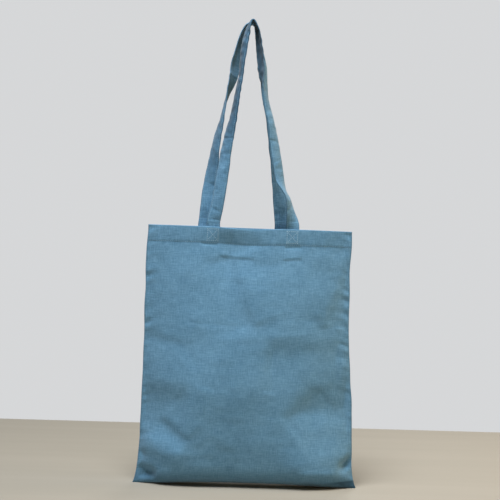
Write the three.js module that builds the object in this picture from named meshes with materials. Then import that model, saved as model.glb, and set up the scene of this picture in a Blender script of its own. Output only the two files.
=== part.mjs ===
// A plain cotton tote bag that hangs by its two long handles from one peg. Millimetres, +Z up.
// The origin is where the peg bears on the handles, and the front of the bag faces -Y.
// The bag is built in a frame of its own: X across, Z up, with zero at the middle of its top edge.
import * as THREE from "three";

// Cloth, and the gap that is left between two pieces that are sewn together
const CLOTH = 1;
const SEAM_GAP = 0.3;

// The folded band round the mouth
const HEM_DEPTH = 28;
const HEM_SIDE_MARGIN = 9;

// The handles: cloth folded to a flat strap, sewn to the inside of the hem
const STRAP_WIDTH = 22;
const STRAP_THICKNESS = 2;
const STRAP_SEWN_LENGTH = 24;
const STRAP_GAP = 0.5;

// Where the peg bears on the handles, seen from the bag, and how the hanging bag leans to its right
const PEG = { x: -4, z: 335 };
const HANG_TILT_DEG = 1.6;

// The top edge falls a little to the right, and sags between the handles on the front
const TOP_EDGE_FALL = 1.6;
const FRONT_EDGE_SAG = 3;
const FRONT_EDGE_SAG_SPREAD = 38;

// Each panel leans in over the hem, most between the handles, and stands out again below it
const HEM_SET_BACK = 2.8;
const HEM_SAG = 3;
const HEM_SAG_X = -18;
const HEM_SAG_SPREAD = 45;
const HEM_RECOVER = 220;

// The keel is arched: it rises between the two corners, which hang lowest
const KEEL_LIFT = 4;
const KEEL_LIFT_SPREAD = 115;
const KEEL_LIFT_POWER = 6;

// How many facets a panel, a hem and a handle have
const PANEL_COLUMNS = 28;
const PANEL_ROWS = 40;
const HEM_ROWS = 2;
const STRAP_STEPS = 72;
const STRAP_SPANS = 4;

// Sections of the bag from the top edge down to the keel, where the two panels meet underneath.
// middle is where the section's middle lies across the bag, halfWidth reaches from there to a side seam,
// depth is the middle of the front or back panel from the plane of the seams, and crown is how flat the
// panel stays before it turns in to the seam.
const SECTIONS = [
  { drop: 0, middle: 0, halfWidth: 167, depth: 17, crown: 2.2 },
  { drop: 70, middle: -1.5, halfWidth: 167.5, depth: 25, crown: 2.2 },
  { drop: 160, middle: -1.5, halfWidth: 167.5, depth: 33, crown: 2.3 },
  { drop: 250, middle: 1.2, halfWidth: 170.5, depth: 36.5, crown: 2.6 },
  { drop: 330, middle: 2, halfWidth: 173.5, depth: 36, crown: 3.1 },
  { drop: 380, middle: 1.5, halfWidth: 175, depth: 33, crown: 4.2 },
  { drop: 404, middle: 1.5, halfWidth: 177.5, depth: 26.5, crown: 5.2 },
  { drop: 417, middle: 2, halfWidth: 181, depth: 14, crown: 5.4 },
  { drop: 421, middle: 2, halfWidth: 183, depth: 0, crown: 5.4 },
];

// Folds: each runs straight between two places on the panel, as wide as spread to either side.
// A swell stands out on its line, and a dent is a swell with a rise below zero.
// A step stands out above its line and in below it.
// A sag only falls in below its line, and comes back slowly.
const SWELL = "swell";
const STEP = "step";
const STEP_REACH = 4;
const SAG = "sag";
const SAG_RECOVERY = 6;
const FRONT_FOLDS = [
  { name: "fall between handles", form: STEP, x1: -21, drop1: 70, x2: 8, drop2: 142, spread: 9, rise: 1.4 },
  { name: "left crease", form: STEP, x1: -168, drop1: 175, x2: -92, drop2: 188, spread: 6, rise: 0.7 },
  { name: "left lap", form: SWELL, x1: -150, drop1: 186, x2: -60, drop2: 190, spread: 26, rise: -0.8 },
  { name: "right crease", form: SAG, x1: 46, drop1: 187, x2: 140, drop2: 186, spread: 10, rise: 2 },
  { name: "swell under foot", form: SWELL, x1: 96, drop1: 108, x2: 104, drop2: 108, spread: 32, rise: 2 },
  { name: "belly", form: SWELL, x1: -80, drop1: 268, x2: -40, drop2: 268, spread: 70, rise: 3 },
  { name: "left hollow", form: SAG, x1: -162, drop1: 264, x2: -104, drop2: 268, spread: 12, rise: 3.6 },
  { name: "right drag", form: SAG, x1: 162, drop1: 256, x2: 72, drop2: 284, spread: 13, rise: 2.2 },
  { name: "hollow under drag", form: SWELL, x1: 150, drop1: 283, x2: 104, drop2: 286, spread: 20, rise: -0.8 },
  { name: "drag over swell", form: STEP, x1: -129, drop1: 314, x2: -95, drop2: 341, spread: 6, rise: 1.4 },
  { name: "left swell", form: SWELL, x1: -150, drop1: 356, x2: -112, drop2: 368, spread: 20, rise: 4.6 },
  { name: "right swell", form: SWELL, x1: 98, drop1: 382, x2: 154, drop2: 364, spread: 24, rise: 3.4 },
  { name: "hollow over keel", form: SWELL, x1: -48, drop1: 372, x2: 48, drop2: 384, spread: 24, rise: -0.8 },
  { name: "right roll", form: SWELL, x1: 100, drop1: 397, x2: 142, drop2: 396, spread: 10, rise: 2 },
  { name: "left dent", form: SWELL, x1: -176, drop1: 399, x2: -150, drop2: 400, spread: 7, rise: -6 },
  { name: "right dent", form: SWELL, x1: 180, drop1: 378, x2: 168, drop2: 388, spread: 8, rise: -6 },
];
const BACK_FOLDS = [
  { name: "fall between handles", form: STEP, x1: -4, drop1: 60, x2: 14, drop2: 148, spread: 10, rise: 1.3 },
  { name: "left crease", form: STEP, x1: -162, drop1: 180, x2: -18, drop2: 186, spread: 7, rise: 0.8 },
  { name: "right crease", form: STEP, x1: 20, drop1: 192, x2: 160, drop2: 183, spread: 12, rise: 1.5 },
  { name: "left drag", form: STEP, x1: -166, drop1: 250, x2: -62, drop2: 306, spread: 15, rise: 1.6 },
  { name: "right drag", form: STEP, x1: 166, drop1: 256, x2: 58, drop2: 306, spread: 15, rise: 1.6 },
  { name: "left swell", form: SWELL, x1: -140, drop1: 358, x2: -104, drop2: 370, spread: 22, rise: 3.6 },
  { name: "right swell", form: SWELL, x1: 104, drop1: 372, x2: 142, drop2: 358, spread: 22, rise: 3.6 },
  { name: "left dent", form: SWELL, x1: -176, drop1: 392, x2: -150, drop2: 397, spread: 8, rise: -4 },
  { name: "right dent", form: SWELL, x1: 176, drop1: 392, x2: 150, drop2: 397, spread: 8, rise: -4 },
];
// Folds die out this near a seam
const FOLD_FADE = 10;
// The line of the top edge dies out by this power of the way up from the keel
const EDGE_FADE_POWER = 3;

// The free length of each handle, from its left foot over the peg to its right foot.
// depth is from the plane of the seams. turn goes from 0, flat to the front, through 90, flat on the
// peg, to 180, flat to the front again. cup is how far the middle of the strap stands out from its edges.
const FRONT_HANDLE = [
  { x: -60, z: 8, depth: 13.2, turn: 3, cup: 0.2 },
  { x: -55.8, z: 28, depth: 13.6, turn: 14, cup: 1 },
  { x: -52.4, z: 48, depth: 14, turn: 22, cup: 1.5 },
  { x: -48.4, z: 77, depth: 14.2, turn: 22, cup: 2 },
  { x: -44.4, z: 107, depth: 14.5, turn: 31, cup: 2 },
  { x: -41.9, z: 126, depth: 14.2, turn: 35, cup: 2.5 },
  { x: -37.8, z: 148, depth: 14, turn: 44, cup: 2.5 },
  { x: -29.8, z: 192, depth: 14, turn: 62, cup: 3 },
  { x: -21.3, z: 248, depth: 13.5, turn: 73, cup: 3 },
  { x: -17.3, z: 290, depth: 13, turn: 64, cup: 3 },
  { x: -13.6, z: 316, depth: 13, turn: 66, cup: 2 },
  { x: -9.5, z: 330, depth: 13, turn: 78, cup: 1.5 },
  { x: -4, z: 336, depth: 13, turn: 90, cup: 1.5 },
  { x: 2, z: 322, depth: 13, turn: 76, cup: 2 },
  { x: 5.3, z: 303, depth: 13, turn: 65, cup: 2.5 },
  { x: 10.3, z: 264, depth: 13, turn: 60, cup: 2.5 },
  { x: 11.7, z: 246, depth: 13.5, turn: 71, cup: 2.5 },
  { x: 14, z: 230, depth: 14, turn: 90, cup: 2.5 },
  { x: 18.6, z: 214, depth: 14, turn: 108, cup: 2.5 },
  { x: 23.8, z: 191, depth: 14, turn: 118, cup: 2.5 },
  { x: 30, z: 166, depth: 14, turn: 122, cup: 2.5 },
  { x: 36, z: 136, depth: 14, turn: 132, cup: 2 },
  { x: 41, z: 106, depth: 14.5, turn: 137, cup: 2 },
  { x: 46.5, z: 79, depth: 14.2, turn: 130, cup: 2 },
  { x: 54, z: 61, depth: 14.2, turn: 109, cup: 1.5 },
  { x: 60, z: 49, depth: 14, turn: 112, cup: 1.5 },
  { x: 65.5, z: 26, depth: 13.6, turn: 130, cup: 1 },
  { x: 69, z: 8, depth: 13, turn: 162, cup: 0.2 },
];
const BACK_HANDLE = [
  { x: -75.3, z: 8, depth: 12.4, turn: 0, cup: 0.2 },
  { x: -73, z: 29, depth: 13, turn: 6, cup: 1 },
  { x: -69.6, z: 68, depth: 14, turn: 17, cup: 1.5 },
  { x: -63.5, z: 109, depth: 14.5, turn: 37, cup: 2 },
  { x: -61.4, z: 129, depth: 14.5, turn: 48, cup: 2 },
  { x: -57.8, z: 149, depth: 14.2, turn: 57, cup: 2 },
  { x: -53.4, z: 170, depth: 14, turn: 65, cup: 2 },
  { x: -44.5, z: 211, depth: 14, turn: 90, cup: 2 },
  { x: -37.7, z: 237, depth: 13.5, turn: 116, cup: 2 },
  { x: -33.6, z: 254, depth: 13, turn: 129, cup: 2.5 },
  { x: -30.4, z: 277, depth: 13, turn: 126, cup: 2.5 },
  { x: -23.8, z: 306, depth: 13, turn: 116, cup: 2.5 },
  { x: -20, z: 322, depth: 13, turn: 106, cup: 2 },
  { x: -13.5, z: 334, depth: 13, turn: 98, cup: 2 },
  { x: -4, z: 338, depth: 13, turn: 90, cup: 1.5 },
  { x: 2, z: 321, depth: 13, turn: 106, cup: 2 },
  { x: 8.5, z: 292, depth: 13, turn: 116, cup: 2.5 },
  { x: 14.6, z: 264, depth: 13.5, turn: 120, cup: 2.5 },
  { x: 18, z: 222, depth: 14, turn: 118, cup: 2.5 },
  { x: 27.5, z: 178, depth: 14, turn: 122, cup: 2.5 },
  { x: 33.8, z: 138, depth: 14.5, turn: 130, cup: 2 },
  { x: 38.2, z: 114, depth: 14.5, turn: 140, cup: 2 },
  { x: 42.7, z: 86, depth: 14.5, turn: 150, cup: 1.5 },
  { x: 47, z: 50, depth: 14, turn: 170, cup: 1 },
  { x: 49.5, z: 27, depth: 13.6, turn: 178, cup: 0.6 },
  { x: 51.2, z: 8, depth: 13, turn: 180, cup: 0.2 },
];

const BLUE_COTTON = { color: 0x628da8, roughness: 0.95, metalness: 0 };
const FRONT = -1;
const BACK = 1;

// Key of each section along the panel, 0 at the top edge and 1 at the keel, by the length of cloth between
let cutLength = 0;
SECTIONS.forEach((row, i) => {
  const above = SECTIONS[Math.max(i - 1, 0)];
  cutLength += Math.hypot(row.drop - above.drop, row.depth - above.depth);
  row.down = cutLength;
});
SECTIONS.forEach((row) => {
  row.down /= cutLength;
});

// Slope of a column at one row of a table, from the rows on either side
function slopeAt(rows, i, key, column) {
  const before = rows[Math.max(i - 1, 0)];
  const after = rows[Math.min(i + 1, rows.length - 1)];
  return (after[column] - before[column]) / (after[key] - before[key]);
}

// A column of a table at any place along its key, on a smooth curve through the rows
function smooth(rows, key, at, column) {
  const last = rows.length - 2;
  const found = rows.findIndex((row, i) => i > 0 && row[key] >= at) - 1;
  const i = Math.min(Math.max(found, 0), last);
  const [a, b] = [rows[i], rows[i + 1]];
  const length = b[key] - a[key];
  const t = THREE.MathUtils.clamp((at - a[key]) / length, 0, 1);
  const rise = b[column] - a[column];
  const bendA = slopeAt(rows, i, key, column) * length - rise;
  const bendB = rise - slopeAt(rows, i + 1, key, column) * length;
  return a[column] + rise * t + t * (1 - t) * ((1 - t) * bendA + t * bendB);
}

// How far down the cloth a drop below the top edge lies, by straight steps between the sections
function downAt(drop) {
  const i = Math.max(1, SECTIONS.findIndex((row) => row.drop >= drop));
  const [a, b] = [SECTIONS[i - 1], SECTIONS[i]];
  return THREE.MathUtils.mapLinear(drop, a.drop, b.drop, a.down, b.down);
}

// Height of a fold of rise 1 across its line, by spreads below the line
function foldProfile(form, below) {
  if (form === STEP) return -Math.tanh(below) * Math.exp(-((below / STEP_REACH) ** 2));
  if (form === SAG) {
    const recovered = Math.exp(-((Math.max(below, 0) / SAG_RECOVERY) ** 2));
    return -(1 + Math.tanh(below)) / 2 * recovered;
  }
  return Math.exp(-below * below);
}

// Height of all the folds of a panel at one place
function foldRise(folds, x, drop) {
  return folds.reduce((sum, fold) => {
    const line = new THREE.Vector2(fold.x2 - fold.x1, fold.drop2 - fold.drop1);
    const along = line.clone().normalize();
    const from = new THREE.Vector2(x - fold.x1, drop - fold.drop1);
    const run = from.dot(along);
    const beyond = Math.max(-run, run - line.length(), 0) / fold.spread;
    const below = along.cross(from) * Math.sign(along.x) / fold.spread;
    return sum + fold.rise * foldProfile(fold.form, below) * Math.exp(-beyond * beyond);
  }, 0);
}

// How far a panel leans in at the hem and below it
function hemSetBack(x, drop) {
  const most = HEM_SET_BACK + HEM_SAG * Math.exp(-(((x - HEM_SAG_X) / HEM_SAG_SPREAD) ** 2));
  const share = drop < HEM_DEPTH ? drop / HEM_DEPTH : Math.exp((HEM_DEPTH - drop) / HEM_RECOVER);
  return most * share;
}

// Height of the top edge over its middle
function topEdge(side, across, x) {
  const fall = -TOP_EDGE_FALL * across;
  const sag = side === FRONT ? FRONT_EDGE_SAG * Math.exp(-((x / FRONT_EDGE_SAG_SPREAD) ** 2)) : 0;
  return fall - sag;
}

// How far the arched keel lifts the cloth over it
function keelLift(x, down) {
  return KEEL_LIFT * Math.exp(-((x / KEEL_LIFT_SPREAD) ** 4)) * down ** KEEL_LIFT_POWER;
}

// A point on the inner face of a panel. across runs from -1 to 1 between the side seams.
function panelPoint(side, across, down) {
  const halfWidth = smooth(SECTIONS, "down", down, "halfWidth");
  const drop = smooth(SECTIONS, "down", down, "drop");
  const x = smooth(SECTIONS, "down", down, "middle") + halfWidth * across;
  const fromEdge = Math.min(halfWidth * (1 - Math.abs(across)), (1 - down) * cutLength);
  const fade = THREE.MathUtils.smoothstep(fromEdge, 0, FOLD_FADE);
  const crown = 1 - Math.abs(across) ** smooth(SECTIONS, "down", down, "crown");
  const folds = foldRise(side === FRONT ? FRONT_FOLDS : BACK_FOLDS, x, drop);
  const depth = (smooth(SECTIONS, "down", down, "depth") - hemSetBack(x, drop)) * crown + fade * folds;
  const edge = topEdge(side, across, x) * (1 - down) ** EDGE_FADE_POWER;
  return new THREE.Vector3(x, side * (SEAM_GAP / 2 + Math.max(depth, 0)), edge - drop + keelLift(x, down));
}

// The outward direction of a panel
function panelNormal(side, across, down) {
  const step = 0.002;
  const [left, right] = [Math.max(across - step, -1), Math.min(across + step, 1)];
  const [up, below] = [Math.max(down - step, 0), Math.min(down + step, 1)];
  const acrossEdge = panelPoint(side, right, down).sub(panelPoint(side, left, down));
  const downEdge = panelPoint(side, across, below).sub(panelPoint(side, across, up));
  return downEdge.cross(acrossEdge).multiplyScalar(side === FRONT ? 1 : -1).normalize();
}

// A point off the inner face of a panel, outwards where away is above zero
function offPanel(side, across, down, away) {
  return panelPoint(side, across, down).addScaledVector(panelNormal(side, across, down), away);
}

// A closed wall between two grids of points, one for its face and one for its back
function wallGeometry(columns, rows, facePoint, backPoint) {
  const positions = [];
  const triangles = [];
  const gridSize = (columns + 1) * (rows + 1);
  for (const point of [facePoint, backPoint]) {
    for (let row = 0; row <= rows; row += 1) {
      for (let column = 0; column <= columns; column += 1) {
        positions.push(...point(column / columns, row / rows).toArray());
      }
    }
  }
  const index = (layer, column, row) => layer * gridSize + row * (columns + 1) + column;
  const quad = (a, b, c, d) => triangles.push(a, b, c, a, c, d);
  for (let row = 0; row < rows; row += 1) {
    for (let column = 0; column < columns; column += 1) {
      const corners = [[column, row], [column, row + 1], [column + 1, row + 1], [column + 1, row]];
      const [face, back] = [0, 1].map((layer) => corners.map((corner) => index(layer, ...corner)));
      quad(...face);
      quad(...back.reverse());
    }
  }
  const rim = [];
  for (let row = 0; row < rows; row += 1) rim.push([0, row]);
  for (let column = 0; column < columns; column += 1) rim.push([column, rows]);
  for (let row = rows; row > 0; row -= 1) rim.push([columns, row]);
  for (let column = columns; column > 0; column -= 1) rim.push([column, 0]);
  rim.forEach((corner, i) => {
    const next = rim[(i + 1) % rim.length];
    quad(index(0, ...next), index(0, ...corner), index(1, ...corner), index(1, ...next));
  });
  const geometry = new THREE.BufferGeometry();
  geometry.setAttribute("position", new THREE.Float32BufferAttribute(positions, 3));
  geometry.setIndex(triangles);
  geometry.computeVertexNormals();
  return geometry;
}

// Columns lie closer together towards the side seams
function acrossAt(share) {
  return Math.sin((share - 0.5) * Math.PI);
}

// A panel's first rows lie level with the hem's, and the others evenly down to the keel
function panelDown(share) {
  const row = share * PANEL_ROWS;
  const hemEnd = downAt(HEM_DEPTH);
  return row < HEM_ROWS
    ? row / HEM_ROWS * hemEnd
    : THREE.MathUtils.mapLinear(row, HEM_ROWS, PANEL_ROWS, hemEnd, 1);
}

// A panel's wall, from the top edge to the keel
function panelGeometry(side) {
  const face = (column, row) => offPanel(side, acrossAt(column), panelDown(row), side === FRONT ? CLOTH : 0);
  const back = (column, row) => offPanel(side, acrossAt(column), panelDown(row), side === FRONT ? 0 : CLOTH);
  return wallGeometry(PANEL_COLUMNS, PANEL_ROWS, face, back);
}

// The band of cloth that is turned down inside the mouth
function hemGeometry(side) {
  const reach = 1 - HEM_SIDE_MARGIN / SECTIONS[0].halfWidth;
  const layer = (away) => (column, row) =>
    offPanel(side, reach * acrossAt(column), row * downAt(HEM_DEPTH), away);
  const [outer, inner] = [layer(-SEAM_GAP), layer(-SEAM_GAP - CLOTH)];
  return side === FRONT
    ? wallGeometry(PANEL_COLUMNS, HEM_ROWS, outer, inner)
    : wallGeometry(PANEL_COLUMNS, HEM_ROWS, inner, outer);
}

// Rows for a sewn end of a handle, which lies on the inside of the hem under its last free row
function sewnRows(side, foot, flatTurn) {
  return [STRAP_SEWN_LENGTH, STRAP_SEWN_LENGTH / 2, 0].map((drop) => {
    const across = foot.x / SECTIONS[0].halfWidth;
    const away = -SEAM_GAP - CLOTH - STRAP_GAP - STRAP_THICKNESS / 2;
    const on = offPanel(side, across, downAt(drop), away);
    const lean = panelNormal(side, across, downAt(drop));
    const turn = flatTurn + THREE.MathUtils.radToDeg(Math.atan(lean.x / lean.y));
    return { x: foot.x, z: on.z, depth: Math.abs(on.y), turn, cup: 0 };
  });
}

// All rows of a handle, from one sewn end to the other
function handleRows(side, free) {
  return [...sewnRows(side, free[0], 0), ...free, ...sewnRows(side, free.at(-1), 180).reverse()];
}

// A flat strap along its rows
function handleGeometry(side, free) {
  const rows = handleRows(side, free).map((row, i) => ({ ...row, at: i }));
  const route = new THREE.CatmullRomCurve3(
    rows.map((row) => new THREE.Vector3(row.x, side * row.depth, row.z)),
  );
  const place = (share, along, layer) => {
    const at = along * (rows.length - 1);
    const forward = route.getTangent(along);
    const turn = THREE.MathUtils.degToRad(smooth(rows, "at", at, "turn"));
    const width = new THREE.Vector3(Math.cos(turn), -Math.sin(turn), 0);
    width.addScaledVector(forward, -width.dot(forward)).normalize();
    const out = width.clone().cross(forward).normalize();
    const reach = 2 * share - 1;
    const stand = smooth(rows, "at", at, "cup") * (1 - reach * reach) + layer * STRAP_THICKNESS / 2;
    return route.getPoint(along).addScaledVector(width, reach * STRAP_WIDTH / 2).addScaledVector(out, stand);
  };
  return wallGeometry(
    STRAP_SPANS,
    STRAP_STEPS,
    (share, along) => place(share, along, -1),
    (share, along) => place(share, along, 1),
  );
}

function addPiece(group, name, geometry) {
  const mesh = new THREE.Mesh(geometry, new THREE.MeshStandardMaterial(BLUE_COTTON));
  mesh.name = name;
  group.add(mesh);
}

const bag = new THREE.Group();
addPiece(bag, "front_panel", panelGeometry(FRONT));
addPiece(bag, "back_panel", panelGeometry(BACK));
addPiece(bag, "front_hem", hemGeometry(FRONT));
addPiece(bag, "back_hem", hemGeometry(BACK));
addPiece(bag, "front_handle", handleGeometry(FRONT, FRONT_HANDLE));
addPiece(bag, "back_handle", handleGeometry(BACK, BACK_HANDLE));
bag.rotation.y = THREE.MathUtils.degToRad(HANG_TILT_DEG);
bag.position.set(-PEG.x, 0, -PEG.z).applyEuler(bag.rotation);

const tote = new THREE.Group();
tote.add(bag);
export default tote;
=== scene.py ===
"""A plain cotton tote bag that hangs by its two handles, dressed for a studio picture.

The bag has a frame of its own, in millimetres: X across, Z up, zero at the middle of its top edge, and
its front faces -Y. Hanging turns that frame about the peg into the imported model's frame, in metres.
"""

import logging
import math
from dataclasses import dataclass, field, fields
from enum import Enum
from typing import ClassVar

import bpy
import numpy as np
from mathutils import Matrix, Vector


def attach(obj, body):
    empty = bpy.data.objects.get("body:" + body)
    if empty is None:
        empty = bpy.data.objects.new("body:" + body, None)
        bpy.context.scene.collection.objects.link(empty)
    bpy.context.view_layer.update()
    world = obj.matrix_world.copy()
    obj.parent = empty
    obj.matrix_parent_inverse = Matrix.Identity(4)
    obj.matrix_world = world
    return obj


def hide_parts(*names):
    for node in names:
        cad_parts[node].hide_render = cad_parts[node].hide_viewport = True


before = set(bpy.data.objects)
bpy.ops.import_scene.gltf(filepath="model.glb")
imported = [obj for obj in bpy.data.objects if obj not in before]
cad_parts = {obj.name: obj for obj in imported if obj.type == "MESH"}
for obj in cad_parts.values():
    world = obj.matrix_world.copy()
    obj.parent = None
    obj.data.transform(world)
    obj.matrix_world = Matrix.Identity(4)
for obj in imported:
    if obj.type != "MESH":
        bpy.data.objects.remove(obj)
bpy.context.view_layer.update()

LOG = logging.getLogger("tote_bag")
BODY = "root"
MILLIMETRE = 0.001
CLOTH_UV = "cloth"
WEAR = "wear"
# The attribute of painted shade, which darkens cloth where shade falls.
PAINTED_SHADE = "soil"
FACING = "facing"

Colour = tuple[float, float, float]
Place = tuple[float, float, float]
Spot = tuple[float, float]


class Side(Enum):
    """The two sides of the bag, by the sign of Y that they face."""

    FRONT = -1
    BACK = 1

    @property
    def word(self) -> str:
        """The side's name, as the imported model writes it."""
        return self.name.lower()


class FoldKind(Enum):
    """How a fold falls away from its line."""

    SOFT = "soft"
    SHARP = "sharp"
    LEDGE = "ledge"
    STEP = "step"
    SAG = "sag"

    def profile(self, below: np.ndarray) -> np.ndarray:
        """Give the fold's height across its line, with 1 as its crest.

        Args:
            below: Distance below the line, in spreads of the fold.

        Returns:
            The share of the fold's rise at each place.
        """
        rounding = 0.3
        pinched = np.exp(rounding - np.hypot(below, rounding))
        if self is FoldKind.SHARP:
            return pinched
        if self is FoldKind.LEDGE:
            slack = 2.2
            return np.where(below > 0.0, pinched, np.exp(-((below / slack) ** 2)))
        if self is FoldKind.STEP:
            reach = 4.0
            return -np.tanh(below) * np.exp(-((below / reach) ** 2))
        if self is FoldKind.SAG:
            recovery = 6.0
            return -0.5 * (1.0 + np.tanh(below)) * np.exp(-((np.maximum(below, 0.0) / recovery) ** 2))
        return np.exp(-(below**2))


@dataclass(frozen=True)
class Section:
    """One level of the bag, in millimetres. Crown is how flat a panel stays up to its seam."""

    drop: float
    middle: float
    half_width: float
    depth: float
    crown: float


@dataclass(frozen=True)
class Fold:
    """A straight fold between two places on a panel. A rise below zero is a dent."""

    name: str
    x1: float
    drop1: float
    x2: float
    drop2: float
    spread: float
    rise: float
    kind: FoldKind = FoldKind.SOFT

    def height(self, x: np.ndarray, drop: np.ndarray) -> np.ndarray:
        """Give the fold's height at places on the panel.

        Args:
            x: Places across the bag.
            drop: Places below the top edge.

        Returns:
            Heights outwards from the smooth panel.
        """
        length = math.hypot(self.x2 - self.x1, self.drop2 - self.drop1)
        along_x = (self.x2 - self.x1) / length
        along_drop = (self.drop2 - self.drop1) / length
        from_x = x - self.x1
        from_drop = drop - self.drop1
        run = from_x * along_x + from_drop * along_drop
        beyond = np.maximum(np.maximum(-run, run - length), 0.0) / self.spread
        below = (from_drop * along_x - from_x * along_drop) * math.copysign(1.0, along_x) / self.spread
        return self.rise * self.kind.profile(below) * np.exp(-(beyond**2))


@dataclass(frozen=True)
class Ripple:
    """Uneven waves of cloth, alike on every run."""

    height: float
    wavelength: float
    seed: int
    waves: int = 14
    shortest: float = 0.7
    longest: float = 1.6

    def at(self, u: np.ndarray, v: np.ndarray) -> np.ndarray:
        """Give the height of the waves.

        Args:
            u: Places across the cloth.
            v: Places along the cloth.

        Returns:
            Heights with a spread of about the ripple's own height.
        """
        draw = np.random.default_rng(self.seed)
        total = np.zeros(np.broadcast(u, v).shape)
        for _ in range(self.waves):
            heading = draw.uniform(0.0, 2.0 * math.pi)
            phase = draw.uniform(0.0, 2.0 * math.pi)
            pitch = 2.0 * math.pi / (self.wavelength * draw.uniform(self.shortest, self.longest))
            total += np.sin(pitch * (u * math.cos(heading) + v * math.sin(heading)) + phase)
        return self.height * total / math.sqrt(self.waves / 2.0)


SECTIONS: tuple[Section, ...] = (
    Section(0, 0, 167, 17, 2.2),
    Section(70, -1.5, 167.5, 25, 2.2),
    Section(160, -1.5, 167.5, 33, 2.3),
    Section(250, 1.2, 170.5, 36.5, 2.6),
    Section(330, 2, 173.5, 36, 3.1),
    Section(380, 1.5, 175, 33, 4.2),
    Section(404, 1.5, 177.5, 26.5, 5.2),
    Section(417, 2, 181, 14, 5.4),
    Section(421, 2, 183, 0, 5.4),
)
MOUTH_HALF_WIDTH = SECTIONS[0].half_width

FRONT_FOLDS: tuple[Fold, ...] = (
    Fold("fall between the handles", -28, 52, 8, 150, 10, 2.4, FoldKind.STEP),
    Fold("fall at the right seam", 162, 62, 131, 142, 10, 1.7, FoldKind.STEP),
    Fold("packing crease, left", -168, 175, -92, 188, 6, 0.7, FoldKind.STEP),
    Fold("packing crease, middle", -40, 182, 14, 178, 6, 0.3),
    Fold("lap over the left crease", -150, 186, -60, 190, 26, -1.4),
    Fold("packing crease, right", 44, 189, 142, 189, 13, 4.4, FoldKind.SAG),
    Fold("swell under the right foot", 96, 108, 104, 108, 32, 0.6),
    Fold("swell beside the right seam", 118, 214, 138, 214, 30, 1.2),
    Fold("hollow under the right crease", 50, 294, 150, 290, 52, -1.6),
    Fold("belly", -80, 268, -28, 268, 70, 4.5),
    Fold("hollow at the left seam", -162, 263, -104, 268, 14, 5.2, FoldKind.SAG),
    Fold("drag from the right seam", 178, 253, 110, 257, 16, 3.5, FoldKind.SAG),
    Fold("lower end of the right drag", 114, 262, 66, 300, 10, 2.4, FoldKind.SAG),
    Fold("hollow under the right drag", 156, 294, 92, 298, 20, -2.4),
    Fold("drag over the left swell", -129, 314, -95, 341, 6.5, 1.5, FoldKind.STEP),
    Fold("left swell", -150, 356, -112, 368, 20, 5.0),
    Fold("right swell", 98, 388, 154, 370, 24, 3.4),
    Fold("brow over the right swell", 88, 300, 126, 303, 8, -0.6, FoldKind.STEP),
    Fold("hollow over the keel", -48, 372, 48, 384, 24, -1.2),
    Fold("roll over the right foot", 100, 397, 142, 396, 9, 2.4),
    Fold("pocket at the left seam", -171, 372, -166, 374, 7, -3.2),
    Fold("left corner dent", -180, 401, -152, 403, 9, -11),
    Fold("right corner dent", 182, 373, 163, 383, 7.5, -10),
)
FRONT_CREASES: tuple[Fold, ...] = (
    Fold("wrinkle under the hem, left", -46, 47, 6, 48.5, 1.8, 0.6, FoldKind.STEP),
    Fold("wrinkle under the hem, right", 57, 50, 83, 48, 1.8, 0.6, FoldKind.STEP),
    Fold("pucker under the left foot", -76, 29, -54, 30, 1.6, -1.0, FoldKind.SHARP),
    Fold("pucker under the right foot", 58, 31, 82, 30, 1.6, -1.1, FoldKind.SHARP),
    Fold("thin crease", -91, 154, -17, 156, 2, 0.24, FoldKind.STEP),
    Fold("packing line, right", 42, 176, 160, 160, 5, 0.45, FoldKind.SHARP),
    Fold("fall beside the packing crease", -73, 172, -64, 216, 9, 0.5, FoldKind.STEP),
    Fold("small ridge, left", -77, 258, -54, 262.5, 3, -0.36, FoldKind.STEP),
    Fold("small ridge beside it", -50, 262, -28, 264, 2.5, -0.2, FoldKind.STEP),
    Fold("small ridge, middle", 29, 263, 45, 265.5, 2.5, -0.36, FoldKind.STEP),
    Fold("crease over the keel", -52, 338, -29, 358, 6, 0.5, FoldKind.STEP),
    Fold("slack in the hem", -46, 12, -32, 12, 8, 1.6, FoldKind.SAG),
    Fold("slack beside it", -26, 12, -2, 13, 8, 0.5, FoldKind.SAG),
    Fold("slack below the hem", -30, 37, -10, 40, 8, 1.8, FoldKind.SAG),
    Fold("hollow in the middle", -36, 330, 0, 334, 28, -1.0),
    Fold("crease at the right seam", 118, 158, 160, 152, 5, 0.8, FoldKind.STEP),
    Fold("slack at the right end of the hem", 142, 10, 166, 10, 9, 1.2, FoldKind.SAG),
    Fold("hollow below the hem", -50, 61, 70, 59, 16, -0.9),
    Fold("seam pucker, first", 166, 149, 145, 146, 3, -0.6, FoldKind.SHARP),
    Fold("seam pucker, second", 167, 163, 146, 160, 3, 0.7, FoldKind.SHARP),
    Fold("seam pucker, third", 167, 189, 150, 185, 3, -0.6, FoldKind.SHARP),
    Fold("seam pucker, fourth", 168, 212, 148, 206, 3, -0.6, FoldKind.SHARP),
)
BACK_FOLDS: tuple[Fold, ...] = (
    Fold("fall between the handles", -4, 60, 14, 148, 10, 1.3, FoldKind.STEP),
    Fold("packing crease, left", -162, 180, -18, 186, 7, 0.8, FoldKind.STEP),
    Fold("packing crease, right", 20, 182, 160, 172, 16, 1.9, FoldKind.LEDGE),
    Fold("drag from the left seam", -166, 250, -62, 306, 15, 1.6, FoldKind.STEP),
    Fold("drag from the right seam", 166, 256, 58, 306, 15, 1.6, FoldKind.STEP),
    Fold("left swell", -140, 358, -104, 370, 22, 3.6),
    Fold("right swell", 104, 372, 142, 358, 22, 3.6),
    Fold("left corner dent", -176, 392, -150, 397, 8, -4),
    Fold("right corner dent", 176, 392, 150, 397, 8, -4),
)
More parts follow.
